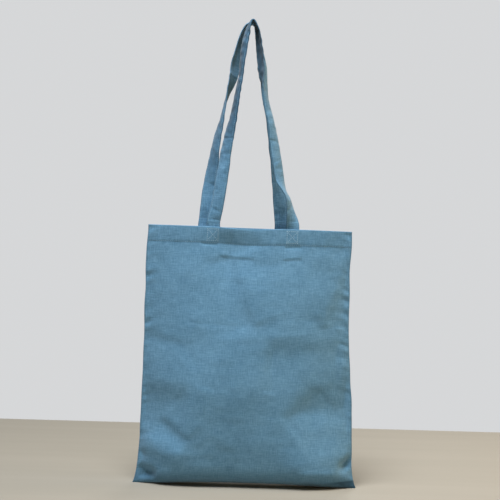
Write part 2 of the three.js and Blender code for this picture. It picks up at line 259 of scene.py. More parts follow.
BACK_CREASES: tuple[Fold, ...] = (
    Fold("wrinkle under the hem, left", -84, 48, -48, 50, 2.6, -0.45, FoldKind.SHARP),
    Fold("wrinkle under the hem, right", 12, 47, 56, 49, 2.6, -0.45, FoldKind.SHARP),
    Fold("thin crease", -70, 150, 22, 154, 3, 0.24, FoldKind.STEP),
    Fold("small ridge", -30, 246, 30, 252, 3, -0.36, FoldKind.STEP),
    Fold("crease over the keel", 26, 340, 52, 356, 6, 0.5, FoldKind.STEP),
)


@dataclass(frozen=True)
class StrapRow:
    """One place on a handle. turn is in degrees: 0 and 180 lie flat to the front, 90 lies on the peg."""

    x: float
    z: float
    depth: float
    turn: float
    cup: float


@dataclass(frozen=True)
class StrapCrease:
    """A crease across a strap, by its share of the free length. Its sizes are in millimetres."""

    share: float
    lean: float
    spread: float
    rise: float


FRONT_HANDLE: tuple[StrapRow, ...] = (
    StrapRow(-60, 8, 13.2, 3, 0.2),
    StrapRow(-55.8, 28, 13.6, 14, 1),
    StrapRow(-52.4, 48, 14, 22, 1.5),
    StrapRow(-48.4, 77, 14.2, 22, 2),
    StrapRow(-44.4, 107, 14.5, 31, 2),
    StrapRow(-41.9, 126, 14.2, 35, 2.5),
    StrapRow(-37.8, 148, 14, 44, 2.5),
    StrapRow(-29.8, 192, 14, 62, 3),
    StrapRow(-21.3, 248, 13.5, 73, 3),
    StrapRow(-17.3, 290, 13, 64, 3),
    StrapRow(-13.6, 316, 13, 66, 2),
    StrapRow(-9.5, 330, 13, 78, 1.5),
    StrapRow(-4, 336, 13, 90, 1.5),
    StrapRow(2, 322, 13, 76, 2),
    StrapRow(5.3, 303, 13, 65, 2.5),
    StrapRow(10.3, 264, 13, 60, 2.5),
    StrapRow(11.7, 246, 13.5, 71, 2.5),
    StrapRow(14, 230, 14, 90, 2.5),
    StrapRow(18.6, 214, 14, 108, 2.5),
    StrapRow(23.8, 191, 14, 118, 2.5),
    StrapRow(30, 166, 14, 122, 2.5),
    StrapRow(36, 136, 14, 132, 2),
    StrapRow(41, 106, 14.5, 137, 2),
    StrapRow(46.5, 79, 14.2, 130, 2),
    StrapRow(54, 61, 14.2, 109, 1.5),
    StrapRow(60, 49, 14, 112, 1.5),
    StrapRow(65.5, 26, 13.6, 130, 1),
    StrapRow(69, 8, 13, 162, 0.2),
)
BACK_HANDLE: tuple[StrapRow, ...] = (
    StrapRow(-75.3, 8, 12.4, 0, 0.2),
    StrapRow(-73, 29, 13, 6, 1),
    StrapRow(-69.6, 68, 14, 17, 1.5),
    StrapRow(-63.5, 109, 14.5, 37, 2),
    StrapRow(-61.4, 129, 14.5, 48, 2),
    StrapRow(-57.8, 149, 14.2, 57, 2),
    StrapRow(-53.4, 170, 14, 65, 2),
    StrapRow(-44.5, 211, 14, 90, 2),
    StrapRow(-37.7, 237, 13.5, 116, 2),
    StrapRow(-33.6, 254, 13, 129, 2.5),
    StrapRow(-30.4, 277, 13, 126, 2.5),
    StrapRow(-23.8, 306, 13, 116, 2.5),
    StrapRow(-20, 322, 13, 106, 2),
    StrapRow(-13.5, 334, 13, 98, 2),
    StrapRow(-4, 338, 13, 90, 1.5),
    StrapRow(2, 321, 13, 106, 2),
    StrapRow(8.5, 292, 13, 116, 2.5),
    StrapRow(14.6, 264, 13.5, 120, 2.5),
    StrapRow(18, 222, 14, 118, 2.5),
    StrapRow(27.5, 178, 14, 122, 2.5),
    StrapRow(33.8, 138, 14.5, 130, 2),
    StrapRow(38.2, 114, 14.5, 140, 2),
    StrapRow(42.7, 86, 14.5, 150, 1.5),
    StrapRow(47, 50, 14, 170, 1),
    StrapRow(49.5, 27, 13.6, 178, 0.6),
    StrapRow(51.2, 8, 13, 180, 0.2),
)
FRONT_STRAP_CREASES: tuple[StrapCrease, ...] = (
    StrapCrease(0.006, 1, 1.6, -0.9),
    StrapCrease(0.030, -3, 2.2, -0.7),
    StrapCrease(0.205, 1, 1.8, -1.1),
    StrapCrease(0.236, 5, 3.0, 0.8),
    StrapCrease(0.620, -4, 2.5, -0.8),
    StrapCrease(0.795, -3, 2.2, -0.9),
    StrapCrease(0.842, 4, 2.0, -0.7),
    StrapCrease(0.960, 5, 2.4, -0.9),
    StrapCrease(0.994, -1, 1.6, -0.9),
)
BACK_STRAP_CREASES: tuple[StrapCrease, ...] = (
    StrapCrease(0.010, 1, 1.8, -0.8),
    StrapCrease(0.095, -4, 2.4, -0.8),
    StrapCrease(0.190, 3, 2.4, -0.6),
    StrapCrease(0.365, 2, 1.8, -1.0),
    StrapCrease(0.700, 4, 2.6, -0.8),
    StrapCrease(0.900, -3, 2.4, -0.8),
    StrapCrease(0.990, 1, 1.8, -0.8),
)


def smoothstep(value: np.ndarray, low: float, high: float) -> np.ndarray:
    """Rise smoothly from 0 at low to 1 at high."""
    share = np.clip((value - low) / (high - low), 0.0, 1.0)
    return share * share * (3.0 - 2.0 * share)


def hermite(keys: np.ndarray, values: np.ndarray, at: np.ndarray) -> np.ndarray:
    """Read one column of a table on a smooth curve through its rows.

    Args:
        keys: The rows' own places, rising.
        values: The column's values in those rows.
        at: The places to read.

    Returns:
        The column's value at each place.
    """
    order = np.arange(len(keys))
    after = np.minimum(order + 1, len(keys) - 1)
    before = np.maximum(order - 1, 0)
    slopes = (values[after] - values[before]) / (keys[after] - keys[before])
    row = np.clip(np.searchsorted(keys, at) - 1, 0, len(keys) - 2)
    length = keys[row + 1] - keys[row]
    share = np.clip((at - keys[row]) / length, 0.0, 1.0)
    rise = values[row + 1] - values[row]
    bend_start = slopes[row] * length - rise
    bend_end = rise - slopes[row + 1] * length
    return values[row] + rise * share + share * (1.0 - share) * (
        (1.0 - share) * bend_start + share * bend_end
    )


def unit(vectors: np.ndarray) -> np.ndarray:
    """Scale vectors to a length of 1."""
    return vectors / np.linalg.norm(vectors, axis=-1, keepdims=True)


def spaced(count: int, length: float, lip: float) -> np.ndarray:
    """Place grid lines along a length, close together in the rounded lip at either end.

    Args:
        count: Number of lines between the two lips.
        length: The whole length, in millimetres.
        lip: Width of a rounded lip, in millimetres.

    Returns:
        Shares of the length, from 0 to 1.
    """
    lip_lines = 4
    turns = np.linspace(0.0, math.pi / 2.0, lip_lines + 1)[:-1]
    start = lip / length * (1.0 - np.cos(turns))
    middle = np.linspace(lip / length, 1.0 - lip / length, count)
    return np.concatenate([start, middle, 1.0 - start[::-1]])


def rounded(from_edge: np.ndarray, lip: float, least: float) -> np.ndarray:
    """Give cloth's share of its full thickness, rounded off over a lip along its edge."""
    inwards = np.clip(from_edge / lip, 0.0, 1.0)
    return np.maximum(np.sqrt(1.0 - (1.0 - inwards) ** 2), least)


def add_object(name: str, data: bpy.types.ID) -> bpy.types.Object:
    """Add an object to the scene, at the origin.

    Args:
        name: The object's name.
        data: Its mesh, lamp or camera.

    Returns:
        The new object.
    """
    item = bpy.data.objects.new(name, data)
    bpy.context.scene.collection.objects.link(item)
    return item


@dataclass(frozen=True)
class Hanging:
    """Where the peg bears on the handles, in the bag's frame, and how the hanging bag leans."""

    peg_x: float = -4.0
    peg_z: float = 335.0
    tilt_deg: float = 1.6

    def place(self, points: np.ndarray) -> np.ndarray:
        """Take points from the bag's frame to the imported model's.

        Args:
            points: Points in millimetres, X, Y and Z in the last axis.

        Returns:
            The same points, hung from the peg, in metres.
        """
        return self.turn(points - np.array([self.peg_x, 0.0, self.peg_z])) * MILLIMETRE

    def turn(self, vectors: np.ndarray) -> np.ndarray:
        """Lean vectors as the bag leans.

        Args:
            vectors: Directions or offsets in the bag's frame.

        Returns:
            The same vectors, leaning.
        """
        tilt = math.radians(self.tilt_deg)
        lean = np.array(
            [
                [math.cos(tilt), 0.0, math.sin(tilt)],
                [0.0, 1.0, 0.0],
                [-math.sin(tilt), 0.0, math.cos(tilt)],
            ]
        )
        return vectors @ lean.T


@dataclass
class BagShape:
    """The surface of both panels, with every fold. A place is given by side, across and down.

    across runs from -1 to 1 between the side seams, and down from 0 at the top edge to 1 at the keel.
    Sizes are in millimetres.
    """

    seam_gap: float = 0.3
    fold_fade: float = 10.0
    # The top edge falls to the right, and its front sags in the middle.
    top_edge_fall: float = 1.6
    front_edge_sag: float = 3.0
    front_edge_sag_spread: float = 38.0
    edge_fade_power: float = 3.0
    # The keel arches up in its middle.
    keel_lift: float = 4.6
    keel_lift_spread: float = 115.0
    keel_lift_flatness: int = 4
    keel_lift_power: float = 6.0
    # The stiff hem draws the wall in along its stitches, most where it is slack.
    hem_line: float = 25.5
    hem_set_back: float = 2.8
    hem_bend_power: float = 1.3
    hem_sag: float = 4.0
    hem_sag_x: float = -24.0
    hem_sag_spread: float = 40.0
    hem_recover: float = 220.0
    hem_step: float = 0.4
    hem_step_width: float = 0.9
    hem_loosening: float = 40.0
    hem_ripple_share: float = 0.4
    # Puckers at the hem are drawn out downwards, and those at the seams slant.
    hem_pucker_reach: float = 9.0
    hem_pucker_stretch: float = 0.15
    seam_pucker_reach: float = 13.0
    seam_pucker_fade: float = 4.0
    seam_pucker_slant: float = 0.4
    seam_wander_power: float = 7.0
    hem_pucker: Ripple = Ripple(0.22, 13.0, 11)
    seam_pucker: Ripple = Ripple(0.45, 15.0, 12)
    seam_wander: Ripple = Ripple(0.35, 60.0, 13)
    slow_ripple: Ripple = Ripple(0.24, 80.0, 14)
    quick_ripple: Ripple = Ripple(0.06, 22.0, 15)
    # These shifts make the waves of the two sides and of the two seams differ.
    side_shift: float = 500.0
    seam_pucker_shift: float = 300.0
    seam_wander_shift: float = 200.0
    keys: np.ndarray = field(init=False)
    cut_length: float = field(init=False)

    def __post_init__(self) -> None:
        """Work out how far down the cloth each section lies."""
        drops = np.array([row.drop for row in SECTIONS])
        depths = np.array([row.depth for row in SECTIONS])
        steps = np.hypot(np.diff(drops), np.diff(depths))
        self.cut_length = float(steps.sum())
        self.keys = np.concatenate([[0.0], np.cumsum(steps)]) / self.cut_length

    def column(self, name: str, down: np.ndarray) -> np.ndarray:
        """Read a column of the sections at any place down the cloth."""
        values = np.array([float(getattr(row, name)) for row in SECTIONS])
        return hermite(self.keys, values, np.asarray(down, dtype=float))

    def down_at(self, drop: float) -> float:
        """Find how far down the cloth a drop below the top edge lies."""
        return float(np.interp(drop, [row.drop for row in SECTIONS], self.keys))

    def bulge(self, across: np.ndarray, down: np.ndarray) -> np.ndarray:
        """Give how far a smooth panel stands out, as a share of its depth in the middle."""
        return 1.0 - np.abs(across) ** self.column("crown", down)

    def set_back(self, x: np.ndarray, drop: np.ndarray, bulge: np.ndarray) -> np.ndarray:
        """Give how far the hem draws a panel in.

        Args:
            x: Places across the bag.
            drop: Places below the top edge.
            bulge: Shares of the panel's depth there.

        Returns:
            Distances inwards, in millimetres.
        """
        slack = self.hem_sag * np.exp(-(((x - self.hem_sag_x) / self.hem_sag_spread) ** 2))
        above = np.clip(drop / self.hem_line, 0.0, 1.0) ** self.hem_bend_power
        under = np.exp(-np.maximum(drop - self.hem_line, 0.0) / self.hem_recover)
        return (self.hem_set_back + slack) * bulge * np.where(drop < self.hem_line, above, under)

    def relief(self, side: Side, across: np.ndarray, down: np.ndarray) -> np.ndarray:
        """Give the height of every fold, crease and ripple of a panel.

        Args:
            side: Which panel.
            across: Places between the side seams.
            down: Places down the cloth.

        Returns:
            Heights outwards from the smooth panel, in millimetres.
        """
        half_width = self.column("half_width", down)
        drop = self.column("drop", down)
        x = self.column("middle", down) + half_width * across
        from_seam = half_width * (1.0 - np.abs(across))
        from_edge = np.minimum(from_seam, (1.0 - down) * self.cut_length)
        from_line = drop - self.hem_line
        shift = self.side_shift * side.value
        folds = FRONT_FOLDS + FRONT_CREASES if side is Side.FRONT else BACK_FOLDS + BACK_CREASES
        height = sum(fold.height(x, drop) for fold in folds)
        loose = smoothstep(from_line, 0.0, self.hem_loosening)
        height = height + loose * self.slow_ripple.at(x + shift, drop)
        quick_share = self.hem_ripple_share + (1.0 - self.hem_ripple_share) * loose
        height = height + quick_share * self.quick_ripple.at(x + shift, drop)
        height = height - self.hem_step * 0.5 * (1.0 + np.tanh(from_line / self.hem_step_width))
        near_line = np.exp(-((from_line / self.hem_pucker_reach) ** 2))
        height = height + near_line * self.hem_pucker.at(x + shift, self.hem_pucker_stretch * drop)
        height = height * smoothstep(from_edge, 0.0, self.fold_fade)
        height = height - self.set_back(x, drop, self.bulge(across, down))
        near_seam = np.exp(-((from_seam / self.seam_pucker_reach) ** 2))
        near_seam = near_seam * smoothstep(from_edge, 0.0, self.seam_pucker_fade)
        seam_place = self.seam_pucker_shift * np.sign(across) + shift
        slanting = drop + self.seam_pucker_slant * from_seam
        return height + near_seam * self.seam_pucker.at(seam_place, slanting)

    def point(self, side: Side, across: np.ndarray, down: np.ndarray) -> np.ndarray:
        """Give points on the inner face of a panel.

        Args:
            side: Which panel.
            across: Places between the side seams.
            down: Places down the cloth.

        Returns:
            Points in the bag's frame.
        """
        across, down = np.broadcast_arrays(np.asarray(across, dtype=float), np.asarray(down, dtype=float))
        drop = self.column("drop", down)
        x = self.column("middle", down) + self.column("half_width", down) * across
        depth = self.column("depth", down) * self.bulge(across, down) + self.relief(side, across, down)
        wander = self.seam_wander.at(self.seam_wander_shift * np.sign(across), drop)
        x = x + np.abs(across) ** self.seam_wander_power * wander
        sag = self.front_edge_sag * np.exp(-((x / self.front_edge_sag_spread) ** 2))
        edge = -self.top_edge_fall * across - (sag if side is Side.FRONT else 0.0)
        lift = self.keel_lift * np.exp(-((x / self.keel_lift_spread) ** self.keel_lift_flatness))
        z = edge * (1.0 - down) ** self.edge_fade_power - drop + lift * down**self.keel_lift_power
        y = side.value * (self.seam_gap / 2.0 + np.maximum(depth, 0.0))
        return np.stack([x, y, z], axis=-1)

    def normal(self, side: Side, across: np.ndarray, down: np.ndarray) -> np.ndarray:
        """Give the outward directions of a panel.

        Args:
            side: Which panel.
            across: Places between the side seams.
            down: Places down the cloth.

        Returns:
            Directions of length 1 in the bag's frame.
        """
        step = 0.002
        left = self.point(side, np.maximum(across - step, -1.0), down)
        right = self.point(side, np.minimum(across + step, 1.0), down)
        above = self.point(side, across, np.maximum(down - step, 0.0))
        below = self.point(side, across, np.minimum(down + step, 1.0))
        return -side.value * unit(np.cross(below - above, right - left))

    def off(self, side: Side, across: np.ndarray, down: np.ndarray, away: np.ndarray) -> np.ndarray:
        """Give points off the inner face of a panel, outwards where away is above zero."""
        away = np.asarray(away, dtype=float)
        return self.point(side, across, down) + self.normal(side, across, down) * away[..., None]


class Graph:
    """A node tree that is written as a list of nodes."""

    def __init__(self, tree: bpy.types.NodeTree) -> None:
        """Start with an empty tree."""
        self.tree = tree
        tree.nodes.clear()

    def add(self, kind: str, inputs: dict | None = None, **settings: object) -> bpy.types.Node:
        """Add a node.

        Args:
            kind: The node's type.
            inputs: Values or sockets for its inputs, by name or number.
            settings: Properties of the node itself.

        Returns:
            The new node.
        """
        node = self.tree.nodes.new(kind)
        for name, value in settings.items():
            setattr(node, name, value)
        for name, value in (inputs or {}).items():
            if isinstance(value, bpy.types.NodeSocket):
                self.tree.links.new(value, node.inputs[name])
            else:
                node.inputs[name].default_value = value
        return node

    def math(self, operation: str, first: object, second: object = 0.0) -> bpy.types.NodeSocket:
        """Add a sum, product or other operation on two numbers."""
        return self.add("ShaderNodeMath", {0: first, 1: second}, operation=operation).outputs[0]

    def blend(self, share: bpy.types.NodeSocket, first: object, second: object) -> bpy.types.NodeSocket:
        """Blend two colours or sockets, from the first where share is 0 to the second where it is 1."""
        # A Mix node's sockets for colours are its inputs 6 and 7 and its output 2.
        ends = [end if isinstance(end, bpy.types.NodeSocket) else (*end, 1.0) for end in (first, second)]
        return self.add("ShaderNodeMix", {0: share, 6: ends[0], 7: ends[1]}, data_type="RGBA").outputs[2]

    def bump(
        self, height: bpy.types.NodeSocket, size: float, strength: float, **over: bpy.types.NodeSocket
    ) -> bpy.types.NodeSocket:
        """Raise a pattern by its size in metres, over another Normal where one is given."""
        inputs = {"Strength": strength, "Distance": size, "Height": height, **over}
        return self.add("ShaderNodeBump", inputs).outputs[0]

    def surface(self, inputs: dict) -> None:
        """End a material in one shader with these inputs."""
        shader = self.add("ShaderNodeBsdfPrincipled", inputs)
        self.add("ShaderNodeOutputMaterial", {"Surface": shader.outputs[0]})


def new_material(name: str) -> tuple[bpy.types.Material, Graph]:
    """Start a material with an empty node tree.

    Args:
        name: The material's name.

    Returns:
        The material, and the graph that fills its tree.
    """
    material = bpy.data.materials.new(name)
    material.use_nodes = True
    return material, Graph(material.node_tree)


@dataclass(frozen=True)
class CottonFinish:
    """Plain-woven cotton. Colours are linear, sizes are in metres on the cloth."""

    name: str
    deep: Colour = (0.088, 0.225, 0.365)
    pale: Colour = (0.185, 0.385, 0.580)
    worn: Colour = (0.300, 0.480, 0.600)
    # The dark colour that painted shade mixes into the cloth.
    soil: Colour = (0.035, 0.100, 0.170)
    tone_low: float = 0.56
    tone_high: float = 0.94
    thread_pitch: float = 0.00062
    thread_height: float = 0.00008
    thread_strength: float = 0.5
    slub_width: float = 0.0013
    slub_length: float = 0.016
    slub_detail: float = 2.0
    slub_height: float = 0.00016
    slub_strength: float = 0.6
    mottle_size: float = 0.045
    mottle_detail: float = 3.0
    mottle_weight: float = 0.25
    fleck_size: float = 0.0030
    fleck_detail: float = 1.0
    fleck_weight: float = 0.25
    crinkle_size: float = 0.030
    crinkle_detail: float = 2.0
    crinkle_height: float = 0.0008
    roughness: float = 0.92
    specular: float = 0.2
    sheen: float = 0.20
    sheen_roughness: float = 0.5
    sheen_tint: Colour = (1.0, 0.95, 0.88)
    seed: float = 0.0

    def noise(
        self, graph: Graph, size: tuple[float, float], detail: float, step: float, kind: str = "FBM"
    ) -> bpy.types.NodeSocket:
        """Add noise over the cloth.

        Args:
            graph: The material's tree.
            size: Metres across and along the cloth that make one unit of the noise.
            detail: How many finer layers it has.
            step: Added to the finish's seed, so that each noise has its own.
            kind: The noise's type.

        Returns:
            The noise, mostly between 0 and 1.
        """
        place = graph.add("ShaderNodeUVMap", uv_map=CLOTH_UV).outputs["UV"]
        scale = (1.0 / size[0], 1.0 / size[1], 1.0)
        place = graph.add("ShaderNodeVectorMath", {0: place, 1: scale}, operation="MULTIPLY").outputs[0]
        inputs = {"Vector": place, "W": self.seed + step, "Scale": 1.0, "Detail": detail}
        noise = graph.add("ShaderNodeTexNoise", inputs, noise_dimensions="4D", noise_type=kind)
        return noise.outputs["Fac"]

    def weave(self, graph: Graph) -> bpy.types.NodeSocket:
        """Add the crossing of single threads.

        Args:
            graph: The material's tree.

        Returns:
            Heights between -1 and 1.
        """
        place = graph.add("ShaderNodeUVMap", uv_map=CLOTH_UV).outputs["UV"]
        axes = graph.add("ShaderNodeSeparateXYZ", {0: place}).outputs
        wave = 2.0 * math.pi / self.thread_pitch
        across, along = (graph.math("SINE", graph.math("MULTIPLY", axes[i], wave)) for i in (0, 1))
        return graph.math("MULTIPLY", across, along)

    def material(self) -> bpy.types.Material:
        """Build the cotton's material.

        Returns:
            The new material.
        """
        material, graph = new_material(self.name)
        weft = self.noise(graph, (self.slub_length, self.slub_width), self.slub_detail, 1.0)
        warp = self.noise(graph, (self.slub_width, self.slub_length), self.slub_detail, 2.0)
        mottle = self.noise(graph, (self.mottle_size, self.mottle_size), self.mottle_detail, 3.0)
        fleck = self.noise(graph, (self.fleck_size, self.fleck_size), self.fleck_detail, 4.0)
        crinkle = self.noise(
            graph, (self.crinkle_size, self.crinkle_size), self.crinkle_detail, 0.0, "RIDGED_MULTIFRACTAL"
        )
        slub = graph.math("ADD", weft, warp)
        mean_slub = graph.math("MULTIPLY", slub, 0.5)
        tone = graph.math("ADD", mean_slub, graph.math("MULTIPLY", fleck, self.fleck_weight))
        tone = graph.math("ADD", tone, graph.math("MULTIPLY", mottle, self.mottle_weight))
        tone_range = {"Value": tone, "From Min": self.tone_low, "From Max": self.tone_high}
        colour = graph.blend(graph.add("ShaderNodeMapRange", tone_range).outputs[0], self.deep, self.pale)
        # Wear lightens the cloth; painted shade, from its own attribute, darkens it where shade falls.
        wear = graph.add("ShaderNodeAttribute", attribute_name=WEAR).outputs["Fac"]
        soil = graph.add("ShaderNodeAttribute", attribute_name=PAINTED_SHADE).outputs["Fac"]
        colour = graph.blend(graph.math("MULTIPLY", wear, mean_slub), colour, self.worn)
        colour = graph.blend(graph.math("MULTIPLY", soil, mottle), colour, self.soil)
        normal = graph.bump(crinkle, self.crinkle_height, 1.0)
        normal = graph.bump(self.weave(graph), self.thread_height, self.thread_strength, Normal=normal)
        normal = graph.bump(slub, self.slub_height, self.slub_strength, Normal=normal)
        graph.surface(
            {
                "Base Color": colour,
                "Roughness": self.roughness,
                "Specular IOR Level": self.specular,
                "Sheen Weight": self.sheen,
                "Sheen Roughness": self.sheen_roughness,
                "Sheen Tint": (*self.sheen_tint, 1.0),
                "Normal": normal,
            }
        )
        return material


@dataclass(frozen=True)
class ThreadFinish:
    """Sewing thread. Colours are linear."""

    name: str
    colour: Colour = (0.24, 0.43, 0.57)
    shadow: Colour = (0.15, 0.30, 0.42)
    fibre_scale: float = 900.0
    fibre_detail: float = 1.0
    fibre_height: float = 0.0001
    fibre_strength: float = 0.4
    roughness: float = 0.75
    specular: float = 0.25
    sheen: float = 0.1

    def material(self) -> bpy.types.Material:
        """Build the thread's material.

        Returns:
            The new material.
        """
        material, graph = new_material(self.name)
        place = graph.add("ShaderNodeTexCoord").outputs["Object"]
        inputs = {"Vector": place, "Scale": self.fibre_scale, "Detail": self.fibre_detail}
        fibre = graph.add("ShaderNodeTexNoise", inputs).outputs["Fac"]
        graph.surface(
            {
                "Base Color": graph.blend(fibre, self.shadow, self.colour),
                "Roughness": self.roughness,
                "Specular IOR Level": self.specular,
                "Sheen Weight": self.sheen,
                "Normal": graph.bump(fibre, self.fibre_height, self.fibre_strength),
            }
        )
        return material


@dataclass(frozen=True)
class FloorFinish:
    """A plain pale floor. Colours are linear."""

    name: str = "pale_floor"
    light: Colour = (0.405, 0.372, 0.315)
    dark: Colour = (0.355, 0.325, 0.27)
    streak: Place = (1.5, 26.0, 1.0)
    streak_detail: float = 4.0
    roughness: float = 0.6
    specular: float = 0.3

    def material(self) -> bpy.types.Material:
        """Build the floor's material.

        Returns:
            The new material.
        """
        material, graph = new_material(self.name)
        place = graph.add("ShaderNodeTexCoord").outputs["Object"]
        drawn_out = graph.add("ShaderNodeMapping", {"Vector": place, "Scale": self.streak}).outputs[0]
        inputs = {"Vector": drawn_out, "Scale": 1.0, "Detail": self.streak_detail}
        streaks = graph.add("ShaderNodeTexNoise", inputs).outputs["Fac"]
        colour = graph.blend(streaks, self.dark, self.light)
        graph.surface(
            {"Base Color": colour, "Roughness": self.roughness, "Specular IOR Level": self.specular}
        )
        return material


@dataclass
class MeshParts:
    """Corners, faces, cloth coordinates, wear and painted shade of a mesh that is being made."""

    corners: np.ndarray
    faces: np.ndarray
    cloth: np.ndarray
    wear: np.ndarray
    soil: np.ndarray

    def piece(self, name: str, material: bpy.types.Material) -> bpy.types.Object:
        """Make the mesh's object.

        Args:
            name: The piece's name.
            material: Its finish.

        Returns:
            The new object, smooth, at the origin.
        """
        mesh = bpy.data.meshes.new(name)
        mesh.from_pydata(self.corners.tolist(), [], self.faces.tolist())
        loops = np.empty(len(mesh.loops), dtype=np.int32)
        mesh.loops.foreach_get("vertex_index", loops)
        layer = mesh.uv_layers.new(name=CLOTH_UV)
        layer.data.foreach_set("uv", self.cloth[loops].astype(np.float32).ravel())
        for attribute_name, values in ((WEAR, self.wear), (PAINTED_SHADE, self.soil)):
            attribute = mesh.attributes.new(attribute_name, "FLOAT", "POINT")
            attribute.data.foreach_set("value", values.astype(np.float32).ravel())
        mesh.materials.append(material)
        mesh.shade_smooth()
        mesh.update()
        return add_object(name, mesh)


def wall(
    outer: np.ndarray, inner: np.ndarray, cloth: np.ndarray, wear: np.ndarray, soil: np.ndarray, flip: bool
) -> MeshParts:
    """Close a wall between two grids of points.

    Args:
        outer: Grid of points on the outer face, rows down and columns across.
        inner: The same grid on the inner face.
        cloth: Coordinates on the cloth for that grid, in metres.
        wear: Wear of the outer face on that grid, 0 where there is none.
        soil: Painted shade of the outer face on that grid, 0 where there is none.
        flip: Whether the faces are wound the other way round.

    Returns:
        The parts of the closed mesh.
    """
    inner_shift = np.array([0.37, 0.53])
    inner_share = 0.3
    rows, columns = outer.shape[:2]
    count = rows * columns
    index = np.arange(count).reshape(rows, columns)
    corners = [index[:-1, :-1], index[1:, :-1], index[1:, 1:], index[:-1, 1:]]
    face = np.stack(corners, axis=-1).reshape(-1, 4)
    rim = np.concatenate([index[:-1, 0], index[-1, :-1], index[:0:-1, -1], index[0, :0:-1]])
    ahead = np.roll(rim, -1)
    edge = np.stack([ahead, rim, rim + count, ahead + count], axis=-1)
    faces = np.concatenate([face, face[:, ::-1] + count, edge])
    return MeshParts(
        corners=np.concatenate([outer.reshape(-1, 3), inner.reshape(-1, 3)]),
        faces=faces[:, ::-1] if flip else faces,
        cloth=np.concatenate([cloth.reshape(-1, 2), cloth.reshape(-1, 2) + inner_shift]),
        wear=np.concatenate([wear.ravel(), inner_share * wear.ravel()]),
        soil=np.concatenate([soil.ravel(), inner_share * soil.ravel()]),
    )


@dataclass
class ClothPiece:
    """A piece of the bag that is cut from cotton. Each kind says how it is held and what it rests on."""

    kind: ClassVar[str]
    slot: ClassVar[str]
    held: ClassVar[str]
    support: ClassVar[str]
    form: ClassVar[str] = "cloth"
    side: Side
    shape: BagShape
    hanging: Hanging

    @property
    def name(self) -> str:
        """The piece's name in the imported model."""
        return f"{self.side.word}_{self.kind}"

    @property
    def flat(self) -> tuple[float, float]:
        """Width and length that the piece was cut to, in metres."""
        raise NotImplementedError

    def parts(self) -> MeshParts:
        """The piece's mesh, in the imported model's frame."""
        raise NotImplementedError

    def build(self, material: bpy.types.Material) -> bpy.types.Object:
        """Make the piece from a material."""
        return self.parts().piece(f"{self.name}_{self.form}", material)

    def declare(self, piece: bpy.types.Object) -> None:
        """Attach the piece to the frame, and hide the imported part that it stands for.

        Args:
            piece: The finished piece.
        """
        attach(piece, BODY)
        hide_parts(self.name)
        f"{self.side.word}_{self.support}"


@dataclass
class Panel(ClothPiece):
    """One wall of the bag, from the top edge to the keel."""

    kind: ClassVar[str] = "panel"
    slot: ClassVar[str] = "body_cotton"
    held: ClassVar[str] = "hung"
    support: ClassVar[str] = "handle"
    columns: int = 186
    rows: int = 244
    flat_width: float = 0.362
    cloth: float = 1.0
    lip: float = 0.8
    lip_edge: float = 0.12
    seam_wear: float = 0.1
    seam_wear_reach: float = 2.0
    # Painted shade darkens a thin line along the hem's stitches and the cloth beside each side seam.
    seam_soil: float = 1.1
    seam_soil_reach: float = 1.3
    # The foot of the wall is darkened with painted shade, which grows between these drops.
    foot_soil: float = 0.8
    foot_from: float = 392.0
    foot_full: float = 410.0
    # A wedge of painted shade at the right end of the keel grows across the wall while its top rises.
    rubbed_soil: float = 2.0
    rubbed_from: float = 0.2
    rubbed_full: float = 0.95
    rubbed_low: float = 413.0
    rubbed_high: float = 406.0
    rubbed_edge: float = 4.0

    @property
    def flat(self) -> tuple[float, float]:
        """Width and length that the panel was cut to, in metres."""
        return self.flat_width, self.shape.cut_length * MILLIMETRE

    def soil(self, across: np.ndarray, down: np.ndarray, from_seam: np.ndarray) -> np.ndarray:
        """Give the panel's painted shade along its hem stitches and side seams, at its foot and in a wedge
        at the right end of the keel.

        Args:
            across: Places between the side seams.
            down: Places down the cloth.
            from_seam: Distances from the nearer side seam.

        Returns:
            The soil at each place, 0 where there is none.
        """
        length = self.shape.cut_length
        from_line = (down - self.shape.down_at(self.shape.hem_line)) * length
        line = self.seam_soil * np.exp(-((from_line / self.seam_soil_reach) ** 2))
        seam = self.seam_soil * np.exp(-from_seam / self.seam_soil_reach)
        drops = (self.foot_from, self.foot_full, self.rubbed_low, self.rubbed_high)
        foot_from, foot_full, low, high = (self.shape.down_at(drop) for drop in drops)
        foot = self.foot_soil * smoothstep(down, foot_from, foot_full)
        shade_wedge = smoothstep(across, self.rubbed_from, self.rubbed_full)
        under = smoothstep(down - (low + (high - low) * shade_wedge), 0.0, self.rubbed_edge / length)
        return np.max([line, seam, foot, self.rubbed_soil * shade_wedge * under], axis=0)

    def parts(self) -> MeshParts:
        """Make the panel's wall.

        Returns:
            The closed mesh of the panel.
        """
        length = self.shape.cut_length
        across, down = np.meshgrid(
            2.0 * spaced(self.columns, 2.0 * MOUTH_HALF_WIDTH, self.lip) - 1.0,
            spaced(self.rows, length, self.lip),
        )
        from_seam = (1.0 - np.abs(across)) * MOUTH_HALF_WIDTH
        from_end = np.minimum(down, 1.0 - down) * length
        thickness = self.cloth * rounded(np.minimum(from_seam, from_end), self.lip, self.lip_edge)
        outer = self.shape.off(self.side, across, down, thickness)
        inner = self.shape.point(self.side, across, down)
        cloth = np.stack([across * MOUTH_HALF_WIDTH, down * length], axis=-1) * MILLIMETRE
        wear = self.seam_wear * np.exp(-from_seam / self.seam_wear_reach)
        places = [self.hanging.place(points) for points in (outer, inner)]
        return wall(*places, cloth, wear, self.soil(across, down, from_seam), self.side is Side.BACK)


